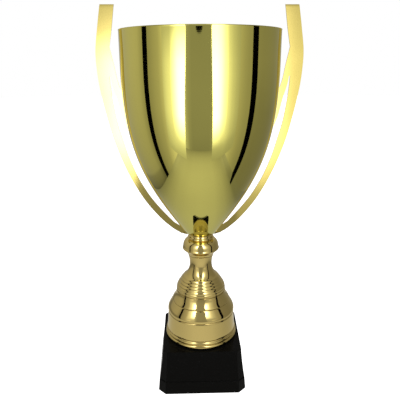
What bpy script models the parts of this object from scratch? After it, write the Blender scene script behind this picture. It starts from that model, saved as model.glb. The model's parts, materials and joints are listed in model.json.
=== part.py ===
"""Cup trophy: a spun metal bowl with two flat Y-shaped handles, on a stacked round riser and a
square base with cut corners.

The frame: origin at the middle of the standing plane, +Z up, the handles along X, the front at -Y.
Everything hangs on one threaded rod, from the nut inside the base to the cap nut inside the bowl.
"""

import math

import bmesh
import bpy
from mathutils import Matrix, Vector

MM = 0.001
GAP = 0.3 * MM  # clearance between pieces that touch

# Driving dimensions.
RIM_RADIUS = 100.0 * MM
BOWL_FLOOR_HEIGHT = 221.1 * MM
BOWL_WALL_TOP = 444.8 * MM  # the wall is upright from here to the rim
RIM_HEIGHT = 485.4 * MM
BOWL_FLOOR_RADIUS = 20.7 * MM
BOWL_WALL = 0.8 * MM
HANDLE_THICKNESS = 2.4 * MM
EAR_THICKNESS = 1.5 * MM
BASE_HEIGHT = 63.4 * MM
BASE_TOP_HALF = 54.9 * MM
BASE_BOTTOM_HALF = 61.9 * MM
CUT_AT_FOOT = 10.2 * MM  # how much of each corner of the base is cut off
CUT_AT_TOP = 6.5 * MM
COVER_CUT = 9.0 * MM
COVER_THICKNESS = 3.0 * MM
PAD_PROUD = 0.4 * MM  # how far the felt pads stand below the base shell
COVER_RECESS = 1.8 * MM  # how far the bottom plate sits inside the base shell
ROD_RADIUS = 3.0 * MM
RISER_WALL = 2.2 * MM

# Heights of the riser's joints, from the base up.
FOOT_RING_TOP = 75.6 * MM
SKIRT_TOP = 101.7 * MM
BARREL_TOP = 118.6 * MM
TIER_TOP = 133.5 * MM
NECK_TOP = 187.6 * MM
COLLAR_TOP = 218.9 * MM

# Finenesses.
BOWL_SEGMENTS = 48
RISER_SEGMENTS = 32
SMALL_SEGMENTS = 16
BOWL_CURVE_STEPS = 12

BORE_RADIUS = ROD_RADIUS + GAP + 0.1 * MM
TAB_TURN = math.radians(8.5)  # how far the handles' upper tabs reach round the bowl
RIVET_TURN = math.radians(5.2)
RIVET_HEIGHTS = {"upper": 405.0 * MM, "lower": 389.0 * MM}
BOSS_OFFSET = 44.0 * MM
PAD_SPREAD = 0.72  # of the bosses' offset


def clear_scene():
    for obj in list(bpy.data.objects):
        bpy.data.objects.remove(obj, do_unlink=True)


# Materials


def material(name, colour, roughness, metallic):
    mat = bpy.data.materials.new(name)
    mat.use_nodes = True
    shader = mat.node_tree.nodes["Principled BSDF"]
    shader.inputs["Base Color"].default_value = (*colour, 1.0)
    shader.inputs["Roughness"].default_value = roughness
    shader.inputs["Metallic"].default_value = metallic
    return mat


def make_materials():
    return {
        "bowl_gold": material("bowl_gold", (0.62, 0.53, 0.26), 0.06, 1.0),
        "handle_gold": material("handle_gold", (0.66, 0.56, 0.27), 0.14, 1.0),
        "riser_gold": material("riser_gold", (0.68, 0.60, 0.36), 0.08, 1.0),
        "base_black": material("base_black", (0.008, 0.008, 0.007), 0.12, 0.0),
        "cover_black": material("cover_black", (0.02, 0.02, 0.02), 0.55, 0.0),
        "zinc_steel": material("zinc_steel", (0.62, 0.62, 0.60), 0.30, 1.0),
        "cast_iron": material("cast_iron", (0.10, 0.10, 0.10), 0.70, 1.0),
        "felt": material("felt", (0.02, 0.05, 0.03), 0.95, 0.0),
    }


# Shapes


def add_object(name, mesh, mat):
    obj = bpy.data.objects.new(name, mesh)
    bpy.context.collection.objects.link(obj)
    mesh.materials.clear()
    mesh.materials.append(mat)
    return obj


def finish_mesh(name, bm, smooth_angle=None):
    """The bmesh as a mesh with its faces turned outwards."""
    bmesh.ops.recalc_face_normals(bm, faces=bm.faces)
    mesh = bpy.data.meshes.new(name)
    bm.to_mesh(mesh)
    bm.free()
    if smooth_angle is not None:
        mesh.shade_smooth()
        mesh.set_sharp_from_angle(angle=math.radians(smooth_angle))
    return mesh


def turned_mesh(name, outline, segments, start=0.0, sweep=math.tau):
    """A closed (radius, height) outline turned round Z. A part turn gets a cap at each end."""
    bm = bmesh.new()
    full = abs(sweep - math.tau) < 1e-9
    count = segments if full else segments + 1
    rings = []
    for step in range(count):
        angle = start + sweep * step / segments
        ring = []
        for radius, height in outline:
            place = (radius * math.cos(angle), radius * math.sin(angle), height)
            ring.append(bm.verts.new(place))
        rings.append(ring)
    pairs = zip(rings, rings[1:] + rings[:1]) if full else zip(rings, rings[1:])
    for ring, following in pairs:
        for low in range(len(outline)):
            high = (low + 1) % len(outline)
            bm.faces.new((ring[low], following[low], following[high], ring[high]))
    if not full:
        bm.faces.new(rings[0])
        bm.faces.new(rings[-1])
    return finish_mesh(name, bm, 35)


def turned(name, outline, segments, mat):
    return add_object(name, turned_mesh(name, outline, segments), mat)


def solid_turned_mesh(name, outline, segments):
    """A (radius, height) outline whose two ends lie on the axis, turned round Z."""
    bm = bmesh.new()
    corners = [bm.verts.new((radius, 0, height)) for radius, height in outline]
    edges = [bm.edges.new(pair) for pair in zip(corners, corners[1:])]
    bmesh.ops.spin(
        bm, geom=corners + edges, cent=(0, 0, 0), axis=(0, 0, 1), angle=math.tau, steps=segments
    )
    bmesh.ops.remove_doubles(bm, verts=bm.verts, dist=1e-6)
    return finish_mesh(name, bm, 40)


def plate_mesh(name, outline, thickness):
    """A closed (x, z) outline as an upright plate whose middle lies in the XZ plane."""
    bm = bmesh.new()
    face = bm.faces.new([bm.verts.new((x, -thickness / 2, z)) for x, z in outline])
    moved = bmesh.ops.extrude_face_region(bm, geom=[face])["geom"]
    corners = [item for item in moved if isinstance(item, bmesh.types.BMVert)]
    bmesh.ops.translate(bm, verts=corners, vec=(0, thickness, 0))
    return finish_mesh(name, bm)


def loft_mesh(name, rings):
    """Rings with the same number of corners, joined in order and capped at both ends."""
    bm = bmesh.new()
    loops = [[bm.verts.new(corner) for corner in ring] for ring in rings]
    for lower, upper in zip(loops, loops[1:]):
        for index in range(len(lower)):
            after = (index + 1) % len(lower)
            bm.faces.new((lower[index], lower[after], upper[after], upper[index]))
    bm.faces.new(loops[0])
    bm.faces.new(loops[-1])
    return finish_mesh(name, bm)


def cut_corner_square(half, cut, height):
    """The eight corners of a square with its corners cut off."""
    inner = half - cut
    flat = [(half, inner), (inner, half), (-inner, half), (-half, inner)]
    flat += [(-x, -y) for x, y in flat]
    return [Vector((x, y, height)) for x, y in flat]


def hexagon_prism(across_flats, low, high, chamfer=0.6 * MM):
    """Rings of a hexagonal nut body with chamfered ends."""
    corner = across_flats / math.sqrt(3)
    rings = []
    for height, radius in (
        (low, corner - chamfer),
        (low + chamfer / 2, corner),
        (high - chamfer / 2, corner),
        (high, corner - chamfer),
    ):
        turns = [math.tau * side / 6 for side in range(6)]
        rings.append(
            [Vector((radius * math.cos(t), radius * math.sin(t), height)) for t in turns]
        )
    return rings


def cylinder_mesh(name, radius, low, high, segments=SMALL_SEGMENTS):
    rings = []
    for height in (low, high):
        turns = [math.tau * side / segments for side in range(segments)]
        rings.append(
            [Vector((radius * math.cos(t), radius * math.sin(t), height)) for t in turns]
        )
    return loft_mesh(name, rings)


def helper(name, mesh, matrix=None):
    """A cutter or a joined shape: in the file, and out of the model."""
    obj = bpy.data.objects.new(name, mesh)
    bpy.context.collection.objects.link(obj)
    obj.display_type = "WIRE"
    obj.hide_render = True
    if matrix is not None:
        obj.matrix_world = matrix
    return obj


def boolean(obj, other, operation):
    modifier = obj.modifiers.new(f"{operation.lower()}_{other.name}", "BOOLEAN")
    modifier.operation = operation
    modifier.solver = "EXACT"
    modifier.object = other


def cubic(first, handle_a, handle_b, last, steps):
    """Points along one cubic curve, both ends included."""
    points = []
    for step in range(steps + 1):
        t = step / steps
        weights = ((1 - t) ** 3, 3 * (1 - t) ** 2 * t, 3 * (1 - t) * t**2, t**3)
        corners = (first, handle_a, handle_b, last)
        x = sum(weight * corner[0] for weight, corner in zip(weights, corners))
        y = sum(weight * corner[1] for weight, corner in zip(weights, corners))
        points.append((x, y))
    return points


def arc(centre, radius, first, last, steps):
    """Points along an arc from one angle to another, in degrees, both ends included."""
    points = []
    for step in range(steps + 1):
        angle = math.radians(first + (last - first) * step / steps)
        points.append(
            (centre[0] + radius * math.cos(angle), centre[1] + radius * math.sin(angle))
        )
    return points


def smooth_path(points, steps):
    """A Catmull-Rom curve through the points, with the given steps between each two."""
    ends = [points[0]] + list(points) + [points[-1]]
    path = []
    for before, start, end, after in zip(ends, ends[1:], ends[2:], ends[3:]):
        for step in range(steps):
            t = step / steps
            spot = []
            for a, b, c, d in zip(before, start, end, after):
                spot.append(
                    0.5
                    * (
                        2 * b
                        + (c - a) * t
                        + (2 * a - 5 * b + 4 * c - d) * t**2
                        + (3 * b - a - 3 * c + d) * t**3
                    )
                )
            path.append(tuple(spot))
    path.append(tuple(points[-1]))
    return path


def in_metres(points):
    return [(x * MM, z * MM) for x, z in points]


# The bowl


def bowl_curve(steps=BOWL_CURVE_STEPS):
    """The outside of the bowl from the edge of its floor up to where the wall is upright."""
    wall = RIM_RADIUS - 0.15 * MM
    return cubic(
        (BOWL_FLOOR_RADIUS, BOWL_FLOOR_HEIGHT),
        (76.7 * MM, 294.6 * MM),
        (wall, 341.0 * MM),
        (wall, BOWL_WALL_TOP),
        steps,
    )


def bowl_outside():
    wall = RIM_RADIUS - 0.15 * MM
    lip = [
        (wall, RIM_HEIGHT - 10.0 * MM),
        (wall, RIM_HEIGHT - 1.3 * MM),
        (wall + 0.4 * MM, RIM_HEIGHT - 0.7 * MM),
        (wall + 0.4 * MM, RIM_HEIGHT - 0.3 * MM),
        (wall + 0.1 * MM, RIM_HEIGHT),
    ]
    return bowl_curve() + lip


def offset_inwards(points, distance):
    """The points moved towards the axis side, square to the line through their neighbours."""
    moved = []
    for index, (radius, height) in enumerate(points):
        before = points[max(index - 1, 0)]
        after = points[min(index + 1, len(points) - 1)]
        along = Vector((after[0] - before[0], after[1] - before[1])).normalized()
        moved.append((radius - along.y * distance, height + along.x * distance))
    return moved


def bowl_radius(height, outwards=0.0):
    """The radius of the outside of the bowl at a height, moved outwards square to the wall."""
    line = bowl_curve(120) + [(RIM_RADIUS - 0.15 * MM, RIM_HEIGHT)]
    line = offset_inwards(line, -outwards)
    for (r_low, z_low), (r_high, z_high) in zip(line, line[1:]):
        if z_low <= height <= z_high:
            return r_low + (r_high - r_low) * (height - z_low) / (z_high - z_low)
    raise ValueError("that height is not on the bowl")


def wall_tilt(height):
    """How far the bowl's outward normal points below the horizontal."""
    step = 1.0 * MM
    return math.atan2(bowl_radius(height + step) - bowl_radius(height - step), 2 * step)


def make_bowl(mats):
    outside = bowl_outside()
    floor_top = BOWL_FLOOR_HEIGHT + BOWL_WALL
    inside = [
        (radius, height)
        for radius, height in offset_inwards(outside[:-2], BOWL_WALL)
        if height > floor_top + 1.0 * MM
    ]
    mouth = [(RIM_RADIUS - 0.6 * MM, RIM_HEIGHT)]
    floor = [(BOWL_FLOOR_RADIUS - 1.0 * MM, floor_top), (BORE_RADIUS, floor_top)]
    outline = [(BORE_RADIUS, BOWL_FLOOR_HEIGHT)] + outside + mouth + inside[::-1] + floor
    bowl = turned("cup_bowl", outline, BOWL_SEGMENTS, mats["bowl_gold"])
    for side in (1, -1):
        for place in RIVET_HEIGHTS:
            boolean(bowl, rivet_hole(side, place), "DIFFERENCE")
    return bowl


# The handles


def handle_outer_edge():
    """The outer edge of the right handle, from its top corner down to the bottom of the bowl."""
    corners = [
        (121.3, 515.0),
        (125.6, 490.0),
        (129.6, 463.0),
        (129.6, 441.0),
        (127.0, 415.0),
        (120.0, 379.0),
        (110.6, 343.0),
        (95.2, 303.5),
        (76.3, 269.0),
        (55.5, 242.6),
        (39.2, 227.6),
        (30.0, 221.4),
    ]
    return smooth_path(in_metres(corners), 3)


def handle_foot():
    """The end of the strip, which wraps the edge of the bowl's floor and runs into the ear."""
    ear = COLLAR_TOP + GAP
    under = [(26.5 * MM, ear), (22.0 * MM, ear), (22.0 * MM, ear + EAR_THICKNESS)]
    hem = [(bowl_radius(height * MM, GAP), height * MM) for height in (225.5, 228.5)]
    return under + hem


def handle_slit():
    """The strip's side of the slit going up, its drilled point, and the tongue's side down."""
    strip = [
        (37.0, 235.3),
        (52.4, 252.3),
        (66.3, 269.8),
        (76.8, 286.5),
        (85.6, 303.5),
        (95.2, 328.0),
        (102.2, 352.0),
        (107.7, 373.0),
        (111.9, 399.0),
        (114.0, 420.0),
    ]
    point = [(114.4, 429.5), (113.6, 430.8), (112.8, 429.5)]
    tongue = [(111.2, 420.0), (106.4, 403.5), (101.9, 383.5), (97.4, 370.0), (93.9, 362.5)]
    return smooth_path(in_metres(strip), 2) + in_metres(point) + smooth_path(in_metres(tongue), 2)


def handle_wall_edge():
    """The edge that lies against the bowl, going up."""
    heights = [(362.5 + 8.0 * step) * MM for step in range(7)]
    return [(bowl_radius(height, GAP), height) for height in heights]


def handle_horn_edge():
    """The inner edge of the horn, from the bowl wall past the kink up to the top."""
    lower = [(102.3, 417.5), (105.3, 428.0), (108.0, 443.5), (112.6, 466.0)]
    upper = [(112.6, 466.0), (108.6, 487.0), (104.4, 515.0)]
    return smooth_path(in_metres(lower), 3) + smooth_path(in_metres(upper), 4)[1:]


def handle_outline():
    """The whole right handle plate, clockwise from its top corner."""
    pieces = (handle_outer_edge, handle_foot, handle_slit, handle_wall_edge, handle_horn_edge)
    return [point for piece in pieces for point in piece()]


def handle_ear_mesh():
    """The flat ear that is clamped between the collar and the floor of the bowl."""
    low = COLLAR_TOP + GAP
    corners = [(x * MM, y * MM) for x, y in ((25.5, -1.2), (25.5, 1.2), (21.0, 5.0))]
    corners += arc((9.0 * MM, 0.0), 9.0 * MM, 75, 112, 3)
    corners += arc((0.0, 0.0), 5.6 * MM, 85, -85, 8)
    corners += arc((9.0 * MM, 0.0), 9.0 * MM, -112, -75, 3)
    corners += [(21.0 * MM, -5.0 * MM)]
    rings = [
        [Vector((x, y, height)) for x, y in corners] for height in (low, low + EAR_THICKNESS)
    ]
    return loft_mesh("handle_ear", rings)


def handle_tab_mesh():
    """The bent tab behind the plate, which lies on the bowl wall and takes the two rivets."""
    low = 380.0 * MM
    high = 413.0 * MM
    steps = 4
    heights = [low + (high - low) * step / steps for step in range(steps + 1)]
    inner = [(bowl_radius(height, GAP + 0.1 * MM), height) for height in heights]
    outer = [(bowl_radius(height, GAP + 2.0 * MM), height) for height in heights]
    start = -math.asin(HANDLE_THICKNESS / 2.5 / RIM_RADIUS)
    return turned_mesh("handle_tab", outer + inner[::-1], 8, start, TAB_TURN - start)


def rivet_frame(side, place):
    """The place and direction of a rivet: on the wall, with its own Z along the outward normal."""
    height = RIVET_HEIGHTS[place]
    spot = Matrix.Translation((bowl_radius(height), 0, height))
    lean = Matrix.Rotation(math.pi / 2 + wall_tilt(height), 4, "Y")
    turn = RIVET_TURN if side > 0 else math.pi - RIVET_TURN
    return Matrix.Rotation(turn, 4, "Z") @ spot @ lean


def rivet_hole(side, place):
    mesh = cylinder_mesh("rivet_hole", 1.9 * MM, -8.0 * MM, 8.0 * MM, 16)
    return helper(f"cutter_rivet_{side}_{place}", mesh, rivet_frame(side, place))


def make_rivet(side, place, name, mats):
    """A round-headed rivet through the tab and the bowl wall, its second head inside the bowl."""
    tab_face = 2.6 * MM
    head = tab_face + 0.1 * MM
    inside = -BOWL_WALL - GAP - 0.15 * MM
    outline = [(0.0, inside - 1.1 * MM), (1.9 * MM, inside - 0.9 * MM), (2.9 * MM, inside - 0.3 * MM)]
    outline += [(2.9 * MM, inside), (1.6 * MM, inside), (1.6 * MM, head)]
    outline += [(3.2 * MM, head), (3.1 * MM, head + 0.5 * MM), (2.1 * MM, head + 1.2 * MM)]
    outline += [(0.0, head + 1.5 * MM)]
    rivet = add_object(name, solid_turned_mesh(name, outline, 12), mats["zinc_steel"])
    rivet.matrix_world = rivet_frame(side, place)
    return rivet


def make_handle(name, side, mats):
    flip = Matrix.Diagonal((side, 1, 1, 1))
    meshes = {
        "plate": plate_mesh(name, handle_outline(), HANDLE_THICKNESS),
        "ear": handle_ear_mesh(),
        "tab": handle_tab_mesh(),
    }
    for mesh in meshes.values():
        mesh.transform(flip)
        if side < 0:
            mesh.flip_normals()
    handle = add_object(name, meshes["plate"], mats["handle_gold"])
    boolean(handle, helper(f"{name}_ear", meshes["ear"]), "UNION")
    boolean(handle, helper(f"{name}_tab", meshes["tab"]), "UNION")
    for place in RIVET_HEIGHTS:
        boolean(handle, bpy.data.objects[f"cutter_rivet_{side}_{place}"], "DIFFERENCE")
        label = "right" if side > 0 else "left"
        make_rivet(side, place, f"handle_rivet_{label}_{place}", mats)
    return handle


# The clamp inside the bowl


def make_bowl_fixings(mats):
    steel = mats["zinc_steel"]
    seat = BOWL_FLOOR_HEIGHT + BOWL_WALL + GAP
    seat_plate = [(BORE_RADIUS, seat), (16.0 * MM, seat), (17.5 * MM, seat + 0.8 * MM)]
    seat_plate += [(17.2 * MM, seat + 1.6 * MM), (12.0 * MM, seat + 1.9 * MM)]
    seat_plate += [(BORE_RADIUS, seat + 1.9 * MM)]
    turned("bowl_seat_plate", seat_plate, 40, steel)

    washer = seat + 1.9 * MM + GAP
    thick = 1.2 * MM
    ring = [(BORE_RADIUS, washer), (6.2 * MM, washer), (6.2 * MM, washer + thick)]
    turned("bowl_washer", ring + [(BORE_RADIUS, washer + thick)], SMALL_SEGMENTS, steel)

    low = washer + thick + GAP
    nut = add_object(
        "bowl_cap_nut", loft_mesh("bowl_cap_nut", hexagon_prism(10 * MM, low, low + 5.5 * MM)), steel
    )
    dome = [(0.0, low + 4.5 * MM), (4.4 * MM, low + 4.5 * MM), (4.4 * MM, low + 7.0 * MM)]
    dome += arc((0.0, low + 7.0 * MM), 4.4 * MM, 20, 70, 2) + [(0.0, low + 11.4 * MM)]
    boolean(nut, helper("cap_nut_dome", solid_turned_mesh("cap_nut_dome", dome, 16)), "UNION")
    blind = cylinder_mesh("cap_nut_bore", BORE_RADIUS, low - 1.0 * MM, low + 7.5 * MM)
    boolean(nut, helper("cap_nut_bore", blind), "DIFFERENCE")
    return low + 6.8 * MM


# The riser


def riser_collar_outline():
    """The round shoulder with its thin edge, the cone under it and the bead above it."""
    low = NECK_TOP + GAP
    cone = [(BORE_RADIUS, low), (17.9 * MM, low), (18.9 * MM, 189.9 * MM)]
    cone += [(19.5 * MM, 192.1 * MM), (23.9 * MM, 195.4 * MM)]
    edge = [(25.5 * MM, 197.0 * MM), (25.8 * MM, 198.2 * MM), (25.1 * MM, 199.4 * MM)]
    shoulder = cubic(
        (24.9 * MM, 200.1 * MM),
        (24.7 * MM, 204.4 * MM),
        (23.9 * MM, 208.3 * MM),
        (19.2 * MM, 211.4 * MM),
        5,
    )
    bead = arc((16.4 * MM, 213.8 * MM), 1.8 * MM, -60, 60, 3)
    neck = [(16.1 * MM, 217.7 * MM), (16.6 * MM, COLLAR_TOP), (BORE_RADIUS, COLLAR_TOP)]
    return cone + edge + shoulder + bead + neck


def shoulder_ribs():
    """The turned ribs from the band up over the shoulder: each crest has a groove above it."""
    crests = [(34.95, 137.3), (34.35, 140.7), (32.7, 144.2), (30.4, 147.8), (28.1, 151.4)]
    crests += [(25.0, 155.3)]
    grooves = [(34.2, 139.1), (33.0, 142.6), (30.8, 146.2), (28.5, 149.8), (26.1, 153.6)]
    grooves += [(22.6, 157.3)]
    return in_metres([point for pair in zip(crests, grooves) for point in pair])


def riser_neck_outline():
    """The waist, the ribbed shoulder and the upright band, hollow below the waist."""
    low = TIER_TOP + GAP
    band = [(34.7 * MM, low), (35.0 * MM, low + 0.6 * MM), (34.6 * MM, 135.9 * MM)]
    bell = cubic(
        (22.4 * MM, 157.5 * MM),
        (18.0 * MM, 161.6 * MM),
        (15.5 * MM, 167.6 * MM),
        (15.75 * MM, 175.5 * MM),
        7,
    )
    throat = cubic(
        (15.75 * MM, 175.5 * MM),
        (15.8 * MM, 180.0 * MM),
        (16.7 * MM, 184.0 * MM),
        (17.8 * MM, NECK_TOP),
        4,
    )
    roof = NECK_TOP - RISER_WALL
    inside = [(BORE_RADIUS, NECK_TOP), (BORE_RADIUS, roof), (13.0 * MM, roof)]
    inside += [(12.6 * MM, 170.0 * MM), (16.6 * MM, 158.0 * MM), (27.6 * MM, 144.0 * MM)]
    inside += [(31.6 * MM, 138.0 * MM), (32.2 * MM, low)]
    return band + shoulder_ribs() + bell + throat[1:] + inside


def riser_tier_outline():
    """The small flared moulding between the band and the barrel."""
    low = BARREL_TOP + GAP
    face = [(40.9 * MM, low), (41.2 * MM, low + 0.6 * MM)]
    face += cubic(
        (41.1 * MM, low + 1.0 * MM),
        (39.4 * MM, low + 4.7 * MM),
        (35.5 * MM, low + 8.6 * MM),
        (35.2 * MM, low + 14.0 * MM),
        5,
    )
    roof = TIER_TOP - RISER_WALL
    inside = [(BORE_RADIUS, TIER_TOP), (BORE_RADIUS, roof), (31.4 * MM, roof)]
    inside += [(34.4 * MM, low + 6.0 * MM), (38.0 * MM, low)]
    return face + [(35.0 * MM, TIER_TOP)] + inside


def riser_barrel_outline():
    """The coned moulding with its rounded lower shoulder."""
    low = SKIRT_TOP + GAP
    face = [(47.6 * MM, low), (48.0 * MM, low + 0.7 * MM)]
    face += cubic(
        (48.0 * MM, low + 1.4 * MM),
        (48.1 * MM, low + 6.0 * MM),
        (45.9 * MM, low + 9.0 * MM),
        (41.6 * MM, low + 15.9 * MM),
        6,
    )
    roof = BARREL_TOP - RISER_WALL
    inside = [(BORE_RADIUS, BARREL_TOP), (BORE_RADIUS, roof), (37.8 * MM, roof)]
    inside += [(43.4 * MM, low + 6.0 * MM), (44.8 * MM, low)]
    return face + [(40.9 * MM, BARREL_TOP)] + inside


def riser_skirt_outline():
    """The tall skirt, slightly hollow in its side, closed by a roof under the barrel."""
    low = FOOT_RING_TOP + GAP
    face = [(49.4 * MM, low)]
    face += cubic(
        (49.3 * MM, low + 1.0 * MM),
        (48.5 * MM, 86.0 * MM),
        (48.0 * MM, 93.0 * MM),
        (47.8 * MM, SKIRT_TOP - 0.6 * MM),
        4,
    )
    roof = SKIRT_TOP - RISER_WALL
    inside = [(47.2 * MM, SKIRT_TOP), (BORE_RADIUS, SKIRT_TOP), (BORE_RADIUS, roof)]
    inside += [(45.0 * MM, roof), (46.6 * MM, low)]
    return face + inside


def riser_foot_ring_outline():
    """The double ring that the riser stands on."""
    low = BASE_HEIGHT + GAP
    lower_bead = arc((48.6 * MM, low + 3.0 * MM), 2.9 * MM, -60, 75, 4)
    upper_bead = arc((48.8 * MM, low + 8.2 * MM), 2.0 * MM, -75, 75, 4)
    top = [(48.9 * MM, low + 11.0 * MM), (49.3 * MM, FOOT_RING_TOP)]
    inside = [(44.0 * MM, FOOT_RING_TOP), (44.0 * MM, low)]
    return [(49.4 * MM, low)] + lower_bead + upper_bead + top + inside


def make_riser(mats):
    outlines = {
        "riser_foot_ring": riser_foot_ring_outline(),
        "riser_skirt": riser_skirt_outline(),
        "riser_barrel": riser_barrel_outline(),
        "riser_tier": riser_tier_outline(),
        "riser_neck": riser_neck_outline(),
        "riser_collar": riser_collar_outline(),
    }
    for name, outline in outlines.items():
        turned(name, outline, RISER_SEGMENTS, mats["riser_gold"])


# The base


def base_outside():
    """(half width, height) of the base, from the standing edge to the top."""
    bottom = PAD_PROUD
    return [
        (BASE_BOTTOM_HALF - 0.8 * MM, bottom),
        (BASE_BOTTOM_HALF, bottom + 0.8 * MM),
        (BASE_BOTTOM_HALF - 1.6 * MM, 18.4 * MM),
        (BASE_BOTTOM_HALF - 2.6 * MM, 19.0 * MM),
        (BASE_BOTTOM_HALF - 2.0 * MM, 19.8 * MM),
        (BASE_TOP_HALF + 1.0 * MM, 47.5 * MM),
        (BASE_TOP_HALF + 0.5 * MM, 52.5 * MM),
        (BASE_TOP_HALF, BASE_HEIGHT - 1.0 * MM),
        (BASE_TOP_HALF - 1.0 * MM, BASE_HEIGHT),
    ]


def corner_cut(height):
    """How much of each corner is cut off: less towards the top."""
    share = (height - PAD_PROUD) / (BASE_HEIGHT - PAD_PROUD)
    return CUT_AT_FOOT + (CUT_AT_TOP - CUT_AT_FOOT) * share


def make_base_shell(mats):
    rings = [cut_corner_square(half, corner_cut(z), z) for half, z in base_outside()]
    shell = add_object("base_shell", loft_mesh("base_shell", rings), mats["base_black"])

    wall = 3.5 * MM
    ledge = PAD_PROUD + COVER_RECESS + COVER_THICKNESS + 0.4 * MM
    roof = BASE_HEIGHT - wall
    inner = BASE_BOTTOM_HALF - wall - 2.2 * MM
    hollow = [
        cut_corner_square(inner, 8.0 * MM, PAD_PROUD - 4.0 * MM),
        cut_corner_square(inner, 8.0 * MM, 20.0 * MM),
        cut_corner_square(BASE_TOP_HALF - wall, 7.0 * MM, 44.0 * MM),
        cut_corner_square(BASE_TOP_HALF - wall, 7.0 * MM, roof),
    ]
    boolean(shell, helper("cutter_base_hollow", loft_mesh("base_hollow", hollow)), "DIFFERENCE")
    recess = [
        cut_corner_square(BASE_BOTTOM_HALF - wall, COVER_CUT, PAD_PROUD - 4.0 * MM),
        cut_corner_square(BASE_BOTTOM_HALF - wall, COVER_CUT, ledge),
    ]
    boolean(shell, helper("cutter_cover_recess", loft_mesh("cover_recess", recess)), "DIFFERENCE")
    for index, (x, y) in enumerate(boss_places()):
        spot = Matrix.Translation((x, y, 0))
        boss = cylinder_mesh("boss", 4.2 * MM, ledge, roof + 1.0 * MM, 16)
        boolean(shell, helper(f"base_boss_{index + 1}", boss, spot), "UNION")
        pilot = cylinder_mesh("boss_pilot", 1.8 * MM, ledge - 1.0 * MM, ledge + 16.0 * MM, 12)
        boolean(shell, helper(f"cutter_boss_{index + 1}", pilot, spot), "DIFFERENCE")
    bore = cylinder_mesh("base_bore", BORE_RADIUS, roof - 2.0 * MM, BASE_HEIGHT + 2.0 * MM)
    boolean(shell, helper("cutter_base_bore", bore), "DIFFERENCE")
    return roof


def boss_places():
    return [(x * BOSS_OFFSET, y * BOSS_OFFSET) for x, y in ((1, 1), (-1, 1), (-1, -1), (1, -1))]


def make_base_fixings(roof, rod_top, mats):
    steel = mats["zinc_steel"]
    weight_top = roof - GAP
    weight_low = weight_top - 20.0 * MM
    slug = [(BORE_RADIUS, weight_low), (38.0 * MM, weight_low), (39.0 * MM, weight_low + 1.0 * MM)]
    slug += [(39.0 * MM, weight_top - 1.0 * MM), (38.0 * MM, weight_top), (BORE_RADIUS, weight_top)]
    turned("base_weight", slug, 40, mats["cast_iron"])

    washer_top = weight_low - GAP
    washer_low = washer_top - 2.0 * MM
    washer = [(BORE_RADIUS, washer_low), (15.0 * MM, washer_low), (15.0 * MM, washer_top)]
    turned("base_clamp_washer", washer + [(BORE_RADIUS, washer_top)], SMALL_SEGMENTS, steel)

    nut_top = washer_low - GAP
    nut_low = nut_top - 5.0 * MM
    nut = add_object(
        "base_nut", loft_mesh("base_nut", hexagon_prism(10 * MM, nut_low, nut_top)), steel
    )
    bore = cylinder_mesh("nut_bore", BORE_RADIUS, nut_low - 1.0 * MM, nut_top + 1.0 * MM)
    boolean(nut, helper("cutter_nut_bore", bore), "DIFFERENCE")

    rod = cylinder_mesh("threaded_rod", ROD_RADIUS, nut_low - 3.0 * MM, rod_top)
    add_object("threaded_rod", rod, steel)


def make_base_cover(mats):
    """The bottom plate with its four screws."""
    low = PAD_PROUD + COVER_RECESS
    high = low + COVER_THICKNESS
    half = BASE_BOTTOM_HALF - 3.5 * MM - GAP
    rings = [cut_corner_square(half, COVER_CUT, height) for height in (low, high)]
    cover = add_object("base_cover", loft_mesh("base_cover", rings), mats["cover_black"])
    head_radius = 3.2 * MM
    for index, (x, y) in enumerate(boss_places()):
        spot = Matrix.Translation((x, y, 0))
        hole = cylinder_mesh("screw_hole", 1.8 * MM, low - 1.0 * MM, high + 1.0 * MM, 16)
        boolean(cover, helper(f"cutter_cover_{index + 1}", hole, spot), "DIFFERENCE")
        top = high + 12.0 * MM
        head = low - GAP
        shank = 1.5 * MM
        outline = [(0.0, head - 0.7 * MM), (head_radius - 0.6 * MM, head - 0.7 * MM)]
        outline += [(head_radius, head - 0.2 * MM), (head_radius, head), (shank, head)]
        outline += [(shank, top - 1.5 * MM), (0.0, top)]
        name = f"cover_screw_{index + 1}"
        screw = add_object(name, solid_turned_mesh(name, outline, 12), mats["zinc_steel"])
        screw.location = (x, y, 0)


def make_felt_pads(mats):
    top = PAD_PROUD + COVER_RECESS - GAP
    radius = 7.8 * MM
    outline = [(0.0, 0.0), (radius - 0.3 * MM, 0.0), (radius, 0.4 * MM), (radius, top), (0.0, top)]
    for index, (x, y) in enumerate(boss_places()):
        name = f"felt_pad_{index + 1}"
        pad = add_object(name, solid_turned_mesh(name, outline, SMALL_SEGMENTS), mats["felt"])
        pad.location = (x * PAD_SPREAD, y * PAD_SPREAD, 0)


def main():
    clear_scene()
    mats = make_materials()
    make_bowl(mats)
    make_handle("handle_right", 1, mats)
    make_handle("handle_left", -1, mats)
    rod_top = make_bowl_fixings(mats)
    make_riser(mats)
    roof = make_base_shell(mats)
    make_base_fixings(roof, rod_top, mats)
    make_base_cover(mats)
    make_felt_pads(mats)


main()
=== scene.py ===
"""The looks of the cup trophy: finer meshes and finished materials round the CAD frame, a pale
studio with a light tent, and the camera.

Everything is in metres, in the CAD's frame: +Z up, the handles along X, the front at -Y.
"""

import json
import math

import bmesh
import bpy
from mathutils import Matrix, Vector


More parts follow.
